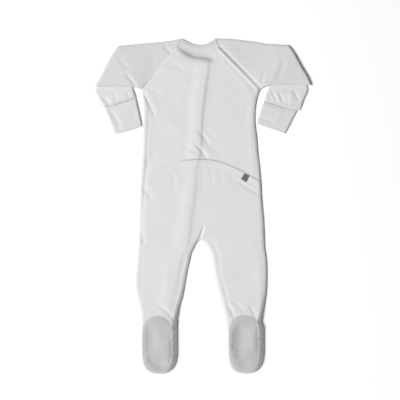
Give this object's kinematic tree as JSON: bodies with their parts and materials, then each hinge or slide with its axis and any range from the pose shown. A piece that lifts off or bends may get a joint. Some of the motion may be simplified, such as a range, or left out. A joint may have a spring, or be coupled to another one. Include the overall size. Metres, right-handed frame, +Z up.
{
  "type": "footed baby sleepsuit",
  "caption": "Footed baby sleepsuit in plain pale jersey, lying flat on its front with raglan sleeves folded under, an arched waist casing, long cuffs and padded-looking soles turned up.",
  "frame": {"origin": "middle of the garment's bounding box, on the surface that it lies on", "axes": "+Y from the toes to the neck, +Z up out of the surface through the back of the garment, +X to the wearer's right arm"},
  "size_m": [0.3906, 0.605, 0.0176],
  "materials": {
    "jersey": "matte cotton jersey",
    "rib": "matte cotton jersey, doubled",
    "sole_jersey": "matte cotton jersey",
    "tag_cloth": "smooth woven tape",
    "stud": "plain pressed metal"
  },
  "bodies": {
    "root": {"back_bodice": "jersey", "back_waistband": "jersey", "back_seat": "jersey", "front_left": "jersey", "front_right": "jersey", "placket": "jersey", "snap_1": "stud", "snap_2": "stud", "snap_3": "stud", "snap_4": "stud", "snap_5": "stud", "snap_6": "stud", "snap_7": "stud", "snap_8": "stud", "neckband_back": "rib", "neckband_front": "rib", "sleeve_left": "jersey", "sleeve_right": "jersey", "forearm_left": "jersey", "forearm_right": "jersey", "cuff_left": "rib", "cuff_right": "rib", "foot_left": "jersey", "foot_right": "jersey", "sole_left": "sole_jersey", "sole_right": "sole_jersey", "label": "tag_cloth"}
  },
  "joints": []
}
